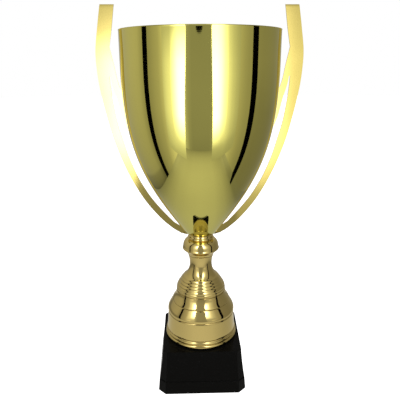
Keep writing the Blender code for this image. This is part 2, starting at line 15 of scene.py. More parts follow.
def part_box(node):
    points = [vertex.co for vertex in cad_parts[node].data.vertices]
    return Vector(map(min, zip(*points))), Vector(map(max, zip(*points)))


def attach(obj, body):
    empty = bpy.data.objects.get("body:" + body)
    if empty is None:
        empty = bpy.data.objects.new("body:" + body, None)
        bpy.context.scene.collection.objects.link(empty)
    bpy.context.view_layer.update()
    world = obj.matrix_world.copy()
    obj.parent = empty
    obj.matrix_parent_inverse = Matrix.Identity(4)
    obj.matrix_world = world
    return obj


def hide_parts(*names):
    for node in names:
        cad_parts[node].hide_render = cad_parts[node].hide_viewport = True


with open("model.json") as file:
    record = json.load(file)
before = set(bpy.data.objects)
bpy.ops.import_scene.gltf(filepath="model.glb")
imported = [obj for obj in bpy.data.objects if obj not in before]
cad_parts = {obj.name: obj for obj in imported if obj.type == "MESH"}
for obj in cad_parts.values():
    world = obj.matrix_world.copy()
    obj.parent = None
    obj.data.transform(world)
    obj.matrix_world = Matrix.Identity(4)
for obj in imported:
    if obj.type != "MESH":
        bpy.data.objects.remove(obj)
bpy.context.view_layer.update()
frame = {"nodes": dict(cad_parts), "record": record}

MM = 0.001
GAP = 0.3 * MM

# From the frame.
BOWL_LOW, BOWL_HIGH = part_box("cup_bowl")
BASE_LOW, BASE_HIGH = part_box("base_shell")
COLLAR_LOW, COLLAR_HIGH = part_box("riser_collar")
NECK_LOW, NECK_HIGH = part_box("riser_neck")
TIER_LOW, TIER_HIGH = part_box("riser_tier")
BARREL_LOW, BARREL_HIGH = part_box("riser_barrel")
SKIRT_LOW, SKIRT_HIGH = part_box("riser_skirt")
RING_LOW, RING_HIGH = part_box("riser_foot_ring")

FLOOR_HEIGHT = BOWL_LOW.z
RIM_HEIGHT = BOWL_HIGH.z
WALL_RADIUS = BOWL_HIGH.x - 0.4 * MM  # the rim's lip stands this far proud of the wall
FLOOR_RADIUS = 20.7 * MM
BOWL_WALL = 0.8 * MM
WALL_TOP = RIM_HEIGHT - 40.6 * MM
BORE_RADIUS = 3.4 * MM
PLATE_THICKNESS = 2.4 * MM
EAR_THICKNESS = 1.5 * MM
TAB_TURN = math.radians(8.5)
RIVET_TURN = math.radians(5.2)
RIVET_HEIGHTS = {"upper": 405.0 * MM, "lower": 389.0 * MM}
CUT_AT_FOOT = 10.2 * MM
CUT_AT_TOP = 6.5 * MM

# Finenesses.
BOWL_SEGMENTS = 256
RISER_SEGMENTS = 192
NUT_SEGMENTS = 72
FILLET_STEPS = 5


# Outlines


def cubic(first, handle_a, handle_b, last, steps):
    """Points along one cubic curve, both ends included."""
    points = []
    for step in range(steps + 1):
        t = step / steps
        weights = ((1 - t) ** 3, 3 * (1 - t) ** 2 * t, 3 * (1 - t) * t**2, t**3)
        corners = (first, handle_a, handle_b, last)
        x = sum(weight * corner[0] for weight, corner in zip(weights, corners))
        y = sum(weight * corner[1] for weight, corner in zip(weights, corners))
        points.append((x, y))
    return points


def arc(centre, radius, first, last, steps):
    """Points along an arc from one angle to another, in degrees, both ends included."""
    points = []
    for step in range(steps + 1):
        angle = math.radians(first + (last - first) * step / steps)
        points.append(
            (centre[0] + radius * math.cos(angle), centre[1] + radius * math.sin(angle))
        )
    return points


def smooth_path(points, steps):
    """A Catmull-Rom curve through the points, with the given steps between each two."""
    ends = [points[0]] + list(points) + [points[-1]]
    path = []
    for before, start, end, after in zip(ends, ends[1:], ends[2:], ends[3:]):
        for step in range(steps):
            t = step / steps
            spot = []
            for a, b, c, d in zip(before, start, end, after):
                square = (2 * a - 5 * b + 4 * c - d) * t**2
                cube = (3 * b - a - 3 * c + d) * t**3
                spot.append(0.5 * (2 * b + (c - a) * t + square + cube))
            path.append(tuple(spot))
    path.append(tuple(points[-1]))
    return path


def rounded(corners, steps=FILLET_STEPS):
    """A closed outline from (x, y, fillet) corners. A corner with no fillet stays as it is."""
    points = []
    count = len(corners)
    for index, (x, y, fillet) in enumerate(corners):
        here = Vector((x, y))
        before = Vector(corners[index - 1][:2]) - here
        after = Vector(corners[(index + 1) % count][:2]) - here
        if fillet <= 0:
            points.append((x, y))
            continue
        reach_in = min(fillet, before.length * 0.48)
        reach_out = min(fillet, after.length * 0.48)
        start = here + before.normalized() * reach_in
        end = here + after.normalized() * reach_out
        for step in range(steps + 1):
            t = step / steps
            spot = start * (1 - t) ** 2 + here * 2 * t * (1 - t) + end * t**2
            points.append((spot.x, spot.y))
    return points


def plain(points):
    return [(x, y, 0.0) for x, y in points]


def in_metres(points):
    return [(x * MM, z * MM) for x, z in points]


def offset_inwards(points, distance):
    """The points moved towards the axis side, square to the line through their neighbours."""
    moved = []
    for index, (radius, height) in enumerate(points):
        before = points[max(index - 1, 0)]
        after = points[min(index + 1, len(points) - 1)]
        along = Vector((after[0] - before[0], after[1] - before[1])).normalized()
        moved.append((radius - along.y * distance, height + along.x * distance))
    return moved


# Meshes


def mesh_from(name, bm, smooth_angle=None):
    bmesh.ops.recalc_face_normals(bm, faces=bm.faces)
    mesh = bpy.data.meshes.new(name)
    bm.to_mesh(mesh)
    bm.free()
    if smooth_angle is not None:
        mesh.shade_smooth()
        mesh.set_sharp_from_angle(angle=math.radians(smooth_angle))
    return mesh


def turned_mesh(name, outline, segments, start=0.0, sweep=math.tau, smooth_angle=42):
    """A closed (radius, height) outline turned round Z. A part turn gets a cap at each end."""
    bm = bmesh.new()
    full = abs(sweep - math.tau) < 1e-9
    rings = []
    for step in range(segments if full else segments + 1):
        angle = start + sweep * step / segments
        side = (math.cos(angle), math.sin(angle))
        rings.append([bm.verts.new((r * side[0], r * side[1], z)) for r, z in outline])
    pairs = zip(rings, rings[1:] + rings[:1]) if full else zip(rings, rings[1:])
    for ring, following in pairs:
        for low in range(len(outline)):
            high = (low + 1) % len(outline)
            bm.faces.new((ring[low], following[low], following[high], ring[high]))
    if not full:
        bm.faces.new(rings[0])
        bm.faces.new(rings[-1])
    return mesh_from(name, bm, smooth_angle)


def solid_turned_mesh(name, outline, segments, smooth_angle=42):
    """A (radius, height) outline whose two ends lie on the axis, turned round Z."""
    bm = bmesh.new()
    corners = [bm.verts.new((radius, 0, height)) for radius, height in outline]
    edges = [bm.edges.new(pair) for pair in zip(corners, corners[1:])]
    bmesh.ops.spin(
        bm, geom=corners + edges, cent=(0, 0, 0), axis=(0, 0, 1), angle=math.tau, steps=segments
    )
    bmesh.ops.remove_doubles(bm, verts=bm.verts, dist=1e-6)
    return mesh_from(name, bm, smooth_angle)


def loft_mesh(name, rings, smooth_angle=None):
    """Rings with the same number of corners, joined in order and capped at both ends."""
    bm = bmesh.new()
    loops = [[bm.verts.new(corner) for corner in ring] for ring in rings]
    for lower, upper in zip(loops, loops[1:]):
        for index in range(len(lower)):
            after = (index + 1) % len(lower)
            bm.faces.new((lower[index], lower[after], upper[after], upper[index]))
    bm.faces.new(loops[0])
    bm.faces.new(loops[-1])
    return mesh_from(name, bm, smooth_angle)


def add_object(name, mesh, mat):
    obj = bpy.data.objects.new(name, mesh)
    bpy.context.scene.collection.objects.link(obj)
    mesh.materials.clear()
    mesh.materials.append(mat)
    return obj


def settle(obj):
    """Applies the modifiers and removes the helpers that they used."""
    bpy.context.view_layer.update()
    graph = bpy.context.evaluated_depsgraph_get()
    mesh = bpy.data.meshes.new_from_object(obj.evaluated_get(graph), depsgraph=graph)
    helpers = [mod.object for mod in obj.modifiers if mod.type == "BOOLEAN"]
    obj.modifiers.clear()
    obj.data = mesh
    for other in helpers:
        bpy.data.objects.remove(other, do_unlink=True)


def boolean(obj, mesh, operation):
    other = bpy.data.objects.new(f"helper_{mesh.name}", mesh)
    bpy.context.scene.collection.objects.link(other)
    modifier = obj.modifiers.new(operation.lower(), "BOOLEAN")
    modifier.operation = operation
    modifier.solver = "EXACT"
    modifier.object = other


def bevel(obj, width, segments=2, angle=35):
    modifier = obj.modifiers.new("bevel", "BEVEL")
    modifier.width = width
    modifier.segments = segments
    modifier.limit_method = "ANGLE"
    modifier.angle_limit = math.radians(angle)
    modifier.harden_normals = True
    obj.data.shade_smooth()


def place_piece(obj, slot, *nodes):
    """Rides the piece on the one rigid body, in place of the CAD nodes named; its slot is not used."""
    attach(obj, "root")
    if nodes:
        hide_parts(*nodes)
    return obj


# Materials


def node(tree, kind, **inputs):
    """A shader node with some of its inputs set: a socket is linked, anything else is a value."""
    made = tree.nodes.new(kind)
    for name, value in inputs.items():
        socket = made.inputs[name.replace("_", " ")]
        if isinstance(value, bpy.types.NodeSocket):
            tree.links.new(value, socket)
        else:
            socket.default_value = value
    return made


def new_material(name):
    mat = bpy.data.materials.new(name)
    mat.use_nodes = True
    tree = mat.node_tree
    return mat, tree, tree.nodes["Principled BSDF"]


def ramp(tree, factor, stops):
    made = tree.nodes.new("ShaderNodeValToRGB")
    tree.links.new(factor, made.inputs["Fac"])
    elements = made.color_ramp.elements
    while len(elements) < len(stops):
        elements.new(0.5)
    for element, (position, colour) in zip(elements, stops):
        element.position = position
        element.color = (*colour, 1.0)
    return made.outputs["Color"]


def grey(value):
    return (value, value, value)


def stretched_coordinates(tree, scale):
    place = tree.nodes.new("ShaderNodeTexCoord")
    mapping = node(tree, "ShaderNodeMapping", Vector=place.outputs["Object"])
    mapping.inputs["Scale"].default_value = scale
    return mapping.outputs["Vector"]


def noise(tree, vector, scale, detail=3.0, roughness=0.5):
    made = node(tree, "ShaderNodeTexNoise", Vector=vector)
    made.inputs["Scale"].default_value = scale
    made.inputs["Detail"].default_value = detail
    made.inputs["Roughness"].default_value = roughness
    return made.outputs["Fac"]


def bump(tree, height, strength, distance, normal=None):
    made = node(tree, "ShaderNodeBump", Height=height)
    made.inputs["Strength"].default_value = strength
    made.inputs["Distance"].default_value = distance
    if normal is not None:
        tree.links.new(normal, made.inputs["Normal"])
    return made.outputs["Normal"]


def gold_material(name, dark, light, gloss, turning, orange_peel):
    """Plated gold: a slight drift of colour, smudges in its gloss, turning lines and orange peel."""
    mat, tree, shader = new_material(name)
    whole = stretched_coordinates(tree, (1, 1, 1))
    drift = noise(tree, whole, 9.0)
    tree.links.new(ramp(tree, drift, ((0.3, dark), (0.7, light))), shader.inputs["Base Color"])
    smudge = noise(tree, whole, 24.0, detail=6.0, roughness=0.62)
    hazy = ramp(tree, smudge, ((0.42, grey(gloss[0])), (0.78, grey(gloss[1]))))
    tree.links.new(hazy, shader.inputs["Roughness"])
    lines = noise(tree, stretched_coordinates(tree, (0.6, 0.6, 900.0)), 1.0, detail=2.0)
    normal = bump(tree, lines, turning, 0.00002)
    peel = noise(tree, whole, 260.0, detail=1.0)
    normal = bump(tree, peel, orange_peel, 0.00005, normal)
    tree.links.new(normal, shader.inputs["Normal"])
    shader.inputs["Metallic"].default_value = 1.0
    return mat


def sheet_gold_material(name, dark, light, gloss):
    """Plated sheet: polished along its length, with the slight wave of rolled metal."""
    mat, tree, shader = new_material(name)
    whole = stretched_coordinates(tree, (1, 1, 1))
    drift = noise(tree, whole, 7.0)
    tree.links.new(ramp(tree, drift, ((0.3, dark), (0.7, light))), shader.inputs["Base Color"])
    smudge = noise(tree, whole, 30.0, detail=5.0, roughness=0.6)
    hazy = ramp(tree, smudge, ((0.4, grey(gloss[0])), (0.8, grey(gloss[1]))))
    tree.links.new(hazy, shader.inputs["Roughness"])
    wave = noise(tree, stretched_coordinates(tree, (14.0, 1.0, 5.0)), 1.0, detail=1.0)
    normal = bump(tree, wave, 0.35, 0.0012)
    lines = noise(tree, stretched_coordinates(tree, (1400.0, 60.0, 40.0)), 1.0, detail=2.0)
    normal = bump(tree, lines, 0.25, 0.00002, normal)
    tree.links.new(normal, shader.inputs["Normal"])
    shader.inputs["Metallic"].default_value = 1.0
    return mat


def gloss_black_material(name):
    """Glossy black moulding: a hazier patch here and there, fine dust and a faint orange peel."""
    mat, tree, shader = new_material(name)
    whole = stretched_coordinates(tree, (1, 1, 1))
    specks = noise(tree, whole, 900.0, detail=1.0)
    colour = ramp(tree, specks, ((0.70, (0.0045, 0.0044, 0.0038)), (0.80, (0.03, 0.03, 0.028))))
    tree.links.new(colour, shader.inputs["Base Color"])
    haze = noise(tree, whole, 18.0, detail=6.0, roughness=0.6)
    hazy = ramp(tree, haze, ((0.35, grey(0.10)), (0.75, grey(0.24))))
    tree.links.new(hazy, shader.inputs["Roughness"])
    peel = noise(tree, whole, 320.0, detail=1.5)
    tree.links.new(bump(tree, peel, 0.18, 0.00006), shader.inputs["Normal"])
    shader.inputs["IOR"].default_value = 1.45
    shader.inputs["Specular IOR Level"].default_value = 0.04
    return mat


def matt_black_material(name):
    """Grained matt plastic."""
    mat, tree, shader = new_material(name)
    whole = stretched_coordinates(tree, (1, 1, 1))
    drift = noise(tree, whole, 40.0, detail=4.0)
    colour = ramp(tree, drift, ((0.3, (0.012, 0.012, 0.012)), (0.7, (0.026, 0.026, 0.025))))
    tree.links.new(colour, shader.inputs["Base Color"])
    grain = noise(tree, whole, 1400.0, detail=2.0)
    tree.links.new(ramp(tree, grain, ((0.3, grey(0.5)), (0.7, grey(0.68)))), shader.inputs["Roughness"])
    tree.links.new(bump(tree, grain, 0.5, 0.0001), shader.inputs["Normal"])
    return mat


def zinc_material(name):
    """Zinc-plated steel with a mottled passivation and fine scratches."""
    mat, tree, shader = new_material(name)
    whole = stretched_coordinates(tree, (1, 1, 1))
    mottle = noise(tree, whole, 220.0, detail=5.0, roughness=0.6)
    stops = ((0.3, (0.44, 0.44, 0.42)), (0.55, (0.58, 0.58, 0.57)), (0.75, (0.66, 0.65, 0.60)))
    tree.links.new(ramp(tree, mottle, stops), shader.inputs["Base Color"])
    tree.links.new(ramp(tree, mottle, ((0.3, grey(0.22)), (0.8, grey(0.42)))), shader.inputs["Roughness"])
    scratches = noise(tree, stretched_coordinates(tree, (300.0, 2400.0, 300.0)), 1.0, detail=2.0)
    tree.links.new(bump(tree, scratches, 0.3, 0.00003), shader.inputs["Normal"])
    shader.inputs["Metallic"].default_value = 1.0
    return mat


def iron_material(name):
    """Raw casting: sand grain and a little rust."""
    mat, tree, shader = new_material(name)
    whole = stretched_coordinates(tree, (1, 1, 1))
    sand = noise(tree, whole, 700.0, detail=6.0, roughness=0.7)
    stops = ((0.35, (0.045, 0.043, 0.042)), (0.6, (0.09, 0.088, 0.085)), (0.8, (0.13, 0.07, 0.04)))
    tree.links.new(ramp(tree, sand, stops), shader.inputs["Base Color"])
    tree.links.new(ramp(tree, sand, ((0.3, grey(0.55)), (0.8, grey(0.85)))), shader.inputs["Roughness"])
    tree.links.new(bump(tree, sand, 0.8, 0.0004), shader.inputs["Normal"])
    shader.inputs["Metallic"].default_value = 0.7
    return mat


def felt_material(name):
    """Pressed felt: fibres that run every way."""
    mat, tree, shader = new_material(name)
    whole = stretched_coordinates(tree, (1, 1, 1))
    fibres = noise(tree, whole, 1800.0, detail=8.0, roughness=0.75)
    colour = ramp(tree, fibres, ((0.3, (0.008, 0.022, 0.013)), (0.7, (0.03, 0.07, 0.042))))
    tree.links.new(colour, shader.inputs["Base Color"])
    tree.links.new(bump(tree, fibres, 0.9, 0.0004), shader.inputs["Normal"])
    shader.inputs["Roughness"].default_value = 0.95
    shader.inputs["Sheen Weight"].default_value = 0.4
    return mat


# The bowl


def bowl_curve(steps):
    """The outside of the bowl from the edge of its floor up to where the wall is upright."""
    return cubic(
        (FLOOR_RADIUS, FLOOR_HEIGHT),
        (FLOOR_RADIUS + 56.0 * MM, FLOOR_HEIGHT + 73.5 * MM),
        (WALL_RADIUS, WALL_TOP - 103.8 * MM),
        (WALL_RADIUS, WALL_TOP),
        steps,
    )


def bowl_radius(height, outwards=0.0):
    """The radius of the outside of the bowl at a height, moved outwards square to the wall."""
    line = offset_inwards(bowl_curve(160) + [(WALL_RADIUS, RIM_HEIGHT)], -outwards)
    for (r_low, z_low), (r_high, z_high) in zip(line, line[1:]):
        if z_low <= height <= z_high:
            return r_low + (r_high - r_low) * (height - z_low) / (z_high - z_low)
    raise ValueError("that height is not on the bowl")


def wall_tilt(height):
    """How far the bowl's outward normal points below the horizontal."""
    step = 1.0 * MM
    return math.atan2(bowl_radius(height + step) - bowl_radius(height - step), 2 * step)


def bowl_outline():
    """The spun wall with its flared lip, its floor and its rounded edges."""
    upright = [(WALL_RADIUS, WALL_TOP + 6.4 * MM * step) for step in range(1, 7)]
    flare = cubic(
        (WALL_RADIUS, RIM_HEIGHT - 1.0 * MM),
        (WALL_RADIUS, RIM_HEIGHT - 0.85 * MM),
        (WALL_RADIUS + 0.1 * MM, RIM_HEIGHT - 0.65 * MM),
        (WALL_RADIUS + 0.33 * MM, RIM_HEIGHT - 0.55 * MM),
        4,
    )
    wall = bowl_curve(90)[1:] + upright + flare
    inner_floor = FLOOR_HEIGHT + BOWL_WALL
    inside = offset_inwards(bowl_curve(90)[1:] + upright, BOWL_WALL)
    inside = [point for point in inside if point[1] > inner_floor + 1.2 * MM]
    lip = arc((WALL_RADIUS - 0.06 * MM, RIM_HEIGHT - 0.42 * MM), 0.42 * MM, -10, 190, 10)
    outer_edge = [(FLOOR_RADIUS, FLOOR_HEIGHT, 0.8 * MM)]
    inner_edge = [(FLOOR_RADIUS - 0.2 * MM, inner_floor, 0.8 * MM)]
    bore = [(BORE_RADIUS, inner_floor, 0.15 * MM), (BORE_RADIUS, FLOOR_HEIGHT, 0.15 * MM)]
    corners = outer_edge + plain(wall) + plain(lip) + plain(inside[::-1]) + inner_edge + bore
    return rounded(corners)


def rivet_frame(side, height, outwards=0.0):
    """A frame on the wall with its own Z along the outward normal."""
    spot = Matrix.Translation((bowl_radius(height), 0, height))
    lean = Matrix.Rotation(math.pi / 2 + wall_tilt(height), 4, "Y")
    turn = RIVET_TURN if side > 0 else math.pi - RIVET_TURN
    return Matrix.Rotation(turn, 4, "Z") @ spot @ lean @ Matrix.Translation((0, 0, outwards))


def make_bowl(mat):
    mesh = turned_mesh("cup_bowl_fine", bowl_outline(), BOWL_SEGMENTS, smooth_angle=50)
    return place_piece(add_object("cup_bowl_fine", mesh, mat), "bowl_gold", "cup_bowl")


# The handles


def handle_outline():
    """The right handle plate, clockwise from its top corner."""
    outer = [
        (121.3, 515.0),
        (125.6, 490.0),
        (129.6, 463.0),
        (129.6, 441.0),
        (127.0, 415.0),
        (120.0, 379.0),
        (110.6, 343.0),
        (95.2, 303.5),
        (76.3, 269.0),
        (55.5, 242.6),
        (39.2, 227.6),
        (30.0, 221.4),
    ]
    ear = COLLAR_HIGH.z + GAP
    foot = [(26.5 * MM, ear), (22.0 * MM, ear), (22.0 * MM, ear + EAR_THICKNESS)]
    hem = [(bowl_radius(height * MM, GAP), height * MM) for height in (225.5, 227.0, 228.5)]
    strip = [
        (37.0, 235.3),
        (52.4, 252.3),
        (66.3, 269.8),
        (76.8, 286.5),
        (85.6, 303.5),
        (95.2, 328.0),
        (102.2, 352.0),
        (107.7, 373.0),
        (111.9, 399.0),
        (114.0, 420.0),
        (114.4, 429.5),
    ]
    drilled = arc((113.6 * MM, 430.0 * MM), 0.85 * MM, -20, 200, 8)
    tongue = [(112.8, 429.5), (111.2, 420.0), (106.4, 403.5), (101.9, 383.5)]
    tongue += [(97.4, 370.0), (93.9, 362.5)]
    heights = [(362.5 + 4.0 * step) * MM for step in range(14)]
    wall = [(bowl_radius(height, GAP), height) for height in heights]
    lower = [(102.3, 417.5), (105.3, 428.0), (108.0, 443.5), (112.6, 466.0)]
    upper = [(112.6, 466.0), (108.6, 487.0), (104.4, 515.0)]
    pieces = [smooth_path(in_metres(outer), 8), foot, hem, smooth_path(in_metres(strip), 6)]
    pieces += [drilled, smooth_path(in_metres(tongue), 6), wall]
    pieces += [smooth_path(in_metres(lower), 6), smooth_path(in_metres(upper), 6)[1:]]
    return [point for piece in pieces for point in piece]


def plate_mesh(name, outline, thickness, turned_top):
    """The flat plate, with cuts across its top end so that the last stretch can be bent back."""
    bm = bmesh.new()
    face = bm.faces.new([bm.verts.new((x, -thickness / 2, z)) for x, z in outline])
    moved = bmesh.ops.extrude_face_region(bm, geom=[face])["geom"]
    corners = [item for item in moved if isinstance(item, bmesh.types.BMVert)]
    bmesh.ops.translate(bm, verts=corners, vec=(0, thickness, 0))
    top = max(z for _, z in outline)
    for step in range(5):
        height = top - turned_top * (1 - step / 5)
        geometry = bm.verts[:] + bm.edges[:] + bm.faces[:]
        bmesh.ops.bisect_plane(bm, geom=geometry, plane_co=(0, 0, height), plane_no=(0, 0, 1))
    for vert in bm.verts:
        past = (vert.co.z - (top - turned_top)) / turned_top
        if past > 0:
            vert.co.y += 0.9 * MM * past**2
    return mesh_from(name, bm)


def ear_mesh(name):
    """The flat ear that is clamped between the collar and the floor of the bowl."""
    low = COLLAR_HIGH.z + GAP
    corners = [(x * MM, y * MM) for x, y in ((25.5, -1.15), (25.5, 1.15), (21.0, 5.0))]
    corners += arc((9.0 * MM, 0.0), 9.0 * MM, 75, 112, 8)
    corners += arc((0.0, 0.0), 5.6 * MM, 85, -85, 20)
    corners += arc((9.0 * MM, 0.0), 9.0 * MM, -112, -75, 8)
    corners += [(21.0 * MM, -5.0 * MM)]
    heights = (low + 0.01 * MM, low + EAR_THICKNESS - 0.01 * MM)
    return loft_mesh(name, [[Vector((x, y, z)) for x, y in corners] for z in heights])


def tab_mesh(name):
    """The bent tab behind the plate, which lies on the bowl wall and takes the two rivets."""
    low = 380.0 * MM
    high = 413.0 * MM
    steps = 10
    heights = [low + (high - low) * step / steps for step in range(steps + 1)]
    inner = [(bowl_radius(height, GAP + 0.1 * MM), height) for height in heights]
    outer = [(bowl_radius(height, GAP + 2.0 * MM), height) for height in heights]
    start = -math.asin(PLATE_THICKNESS / 2.5 / WALL_RADIUS)
    return turned_mesh(name, outer + inner[::-1], 16, start, TAB_TURN - start)


def make_handle(label, side, mat, steel):
    name = f"handle_{label}_fine"
    meshes = [
        plate_mesh(name, handle_outline(), PLATE_THICKNESS, 3.6 * MM),
        ear_mesh(f"{name}_ear"),
        tab_mesh(f"{name}_tab"),
    ]
    flip = Matrix.Diagonal((side, 1, 1, 1))
    for mesh in meshes:
        mesh.transform(flip)
        if side < 0:
            mesh.flip_normals()
    handle = add_object(name, meshes[0], mat)
    boolean(handle, meshes[1], "UNION")
    boolean(handle, meshes[2], "UNION")
    settle(handle)
    bevel(handle, 0.85 * MM, 4)
    settle(handle)
    handle.data.materials.clear()
    handle.data.materials.append(mat)
    place_piece(handle, "handle_gold", f"handle_{label}")
    for place, height in RIVET_HEIGHTS.items():
        make_rivet(f"rivet_{label}_{place}_fine", side, height, steel, f"handle_rivet_{label}_{place}")


def make_rivet(name, side, height, mat, cad_node):
    """A round-headed rivet with its formed second head inside the bowl."""
    head = 2.7 * MM
    inside = -BOWL_WALL - GAP - 0.15 * MM
    outline = [(0.0, inside - 1.1 * MM)]
    outline += cubic(
        (0.6 * MM, inside - 1.1 * MM),
        (2.0 * MM, inside - 1.1 * MM),
        (2.8 * MM, inside - 0.8 * MM),
        (2.9 * MM, inside - 0.1 * MM),
        8,
    )
    outline += [(2.8 * MM, inside), (1.6 * MM, inside), (1.6 * MM, head), (3.1 * MM, head)]
    outline += cubic(
        (3.2 * MM, head + 0.1 * MM),
        (3.1 * MM, head + 0.9 * MM),
        (2.0 * MM, head + 1.5 * MM),
        (0.5 * MM, head + 1.5 * MM),
        8,
    )
    outline += [(0.0, head + 1.5 * MM)]
    rivet = add_object(name, solid_turned_mesh(name, outline, 32), mat)
    rivet.matrix_world = rivet_frame(side, height)
    return place_piece(rivet, "zinc_steel", cad_node)


# The riser


def collar_outline():
    """The bead under the bowl, the round shoulder, the thin edge and the cone under it."""
    low = COLLAR_LOW.z
    high = COLLAR_HIGH.z
    corners = [
        (BORE_RADIUS, low, 0.0),
        (17.9 * MM, low, 0.2 * MM),
        (18.9 * MM, low + 2.0 * MM, 1.2 * MM),
        (19.5 * MM, low + 4.2 * MM, 1.2 * MM),
        (23.9 * MM, low + 7.5 * MM, 1.0 * MM),
        (25.5 * MM, low + 9.1 * MM, 0.6 * MM),
        (25.8 * MM, low + 10.3 * MM, 0.5 * MM),
        (25.1 * MM, low + 11.5 * MM, 0.4 * MM),
    ]
    shoulder = cubic(
        (24.9 * MM, low + 12.2 * MM),
        (24.7 * MM, low + 16.5 * MM),
        (23.9 * MM, low + 20.4 * MM),
        (19.2 * MM, low + 23.5 * MM),
        18,
    )
    bead = arc((16.4 * MM, low + 25.9 * MM), 1.8 * MM, -62, 62, 10)
    top = [(16.1 * MM, high - 1.2 * MM, 0.3 * MM), (16.6 * MM, high, 0.2 * MM)]
    return rounded(corners + plain(shoulder) + plain(bead) + top + [(BORE_RADIUS, high, 0.0)])


def rib_line():
    """The turned ribs from the band up over the shoulder: each crest has a groove above it."""
    crests = [(34.95, 137.3), (34.35, 140.7), (32.7, 144.2)]
    crests += [(30.4, 147.8), (28.1, 151.4), (25.0, 155.3)]
    grooves = [(34.2, 139.1), (33.0, 142.6), (30.8, 146.2)]
    grooves += [(28.5, 149.8), (26.1, 153.6), (22.6, 157.3)]
    pairs = [point for pair in zip(crests, grooves) for point in pair]
    return smooth_path(in_metres([(35.0, 134.4), (34.6, 135.9)] + pairs), 5)


def neck_outline():
    """The waist, the ribbed shoulder and the upright band, hollow below the waist."""
    low = NECK_LOW.z
    high = NECK_HIGH.z
    bell = cubic(
        (22.4 * MM, 157.5 * MM),
        (18.0 * MM, 161.6 * MM),
        (15.5 * MM, 167.6 * MM),
        (15.75 * MM, 175.5 * MM),
        18,
    )
    throat = cubic(
        (15.75 * MM, 175.5 * MM),
        (15.8 * MM, 180.0 * MM),
        (16.7 * MM, 184.0 * MM),
        (17.8 * MM, high - 0.3 * MM),
        10,
    )
    top = [(17.8 * MM, high, 0.1 * MM), (BORE_RADIUS, high, 0.0)]
    roof = high - 2.2 * MM
    inside = [(BORE_RADIUS, roof), (13.0 * MM, roof), (12.6 * MM, 170.0 * MM)]
    inside += [(16.6 * MM, 158.0 * MM), (27.6 * MM, 144.0 * MM), (31.6 * MM, 138.0 * MM)]
    inside += [(32.2 * MM, low)]
    outside = plain(rib_line() + bell + throat[1:])
    return rounded([(34.7 * MM, low, 0.3 * MM)] + outside + top + plain(inside))


def tier_outline():
    """The small flared moulding between the band and the barrel."""
    low = TIER_LOW.z
    high = TIER_HIGH.z
    corners = [(40.9 * MM, low, 0.3 * MM), (41.25 * MM, low + 0.6 * MM, 0.3 * MM)]
    face = cubic(
        (41.1 * MM, low + 1.0 * MM),
        (39.4 * MM, low + 4.7 * MM),
        (35.5 * MM, low + 8.6 * MM),
        (35.2 * MM, low + 14.0 * MM),
        16,
    )
    roof = high - 2.2 * MM
    top = [(35.0 * MM, high, 0.2 * MM)]
    inside = [(BORE_RADIUS, high), (BORE_RADIUS, roof), (31.4 * MM, roof)]
    inside += [(34.4 * MM, low + 6.0 * MM), (38.0 * MM, low)]
    return rounded(corners + plain(face) + top + plain(inside))


def barrel_outline():
    """The coned moulding with its rounded lower shoulder."""
    low = BARREL_LOW.z
    high = BARREL_HIGH.z
    corners = [(47.6 * MM, low, 0.3 * MM), (48.0 * MM, low + 0.7 * MM, 0.4 * MM)]
    face = cubic(
        (48.0 * MM, low + 1.4 * MM),
        (48.1 * MM, low + 6.0 * MM),
        (45.9 * MM, low + 9.0 * MM),
        (41.6 * MM, low + 15.9 * MM),
        20,
    )
    roof = high - 2.2 * MM
    top = [(41.2 * MM, high - 0.2 * MM, 0.2 * MM), (40.9 * MM, high, 0.1 * MM)]
    inside = [(BORE_RADIUS, high), (BORE_RADIUS, roof), (37.8 * MM, roof)]
    inside += [(43.4 * MM, low + 6.0 * MM), (44.8 * MM, low)]
    return rounded(corners + plain(face) + top + plain(inside))


def skirt_outline():
    """The tall skirt, slightly hollow in its side, closed by a roof under the barrel."""
    low = SKIRT_LOW.z
    high = SKIRT_HIGH.z
    face = cubic(
        (49.35 * MM, low + 0.5 * MM),
        (48.7 * MM, low + 7.0 * MM),
        (48.0 * MM, low + 15.0 * MM),
        (47.8 * MM, high - 1.2 * MM),
        24,
    )
    roof = high - 2.2 * MM
    inside = [(BORE_RADIUS, high), (BORE_RADIUS, roof), (45.0 * MM, roof), (46.6 * MM, low)]
    top = [(47.2 * MM, high, 0.4 * MM)]
    return rounded([(49.2 * MM, low, 0.2 * MM)] + plain(face) + top + plain(inside))


def foot_ring_outline():
    """The double ring that the riser stands on."""
    low = RING_LOW.z
    high = RING_HIGH.z
    lower_bead = arc((48.6 * MM, low + 3.0 * MM), 2.9 * MM, -62, 72, 14)
    upper_bead = arc((48.8 * MM, low + 8.2 * MM), 2.0 * MM, -72, 70, 12)
    corners = [(49.4 * MM, low, 0.2 * MM)] + plain(lower_bead) + plain(upper_bead)
    corners += [(48.9 * MM, low + 11.1 * MM, 0.5 * MM), (49.3 * MM, high, 0.2 * MM)]
    corners += [(44.0 * MM, high, 0.3 * MM), (44.0 * MM, low, 0.3 * MM)]
    return rounded(corners)


def make_riser(mat):
    outlines = {
        "riser_collar": collar_outline(),
        "riser_neck": neck_outline(),
        "riser_tier": tier_outline(),
        "riser_barrel": barrel_outline(),
        "riser_skirt": skirt_outline(),
        "riser_foot_ring": foot_ring_outline(),
    }
    for cad_node, outline in outlines.items():
        name = f"{cad_node}_fine"
        mesh = turned_mesh(name, outline, RISER_SEGMENTS, smooth_angle=38)
        place_piece(add_object(name, mesh, mat), "riser_gold", cad_node)


# The fixings inside the bowl


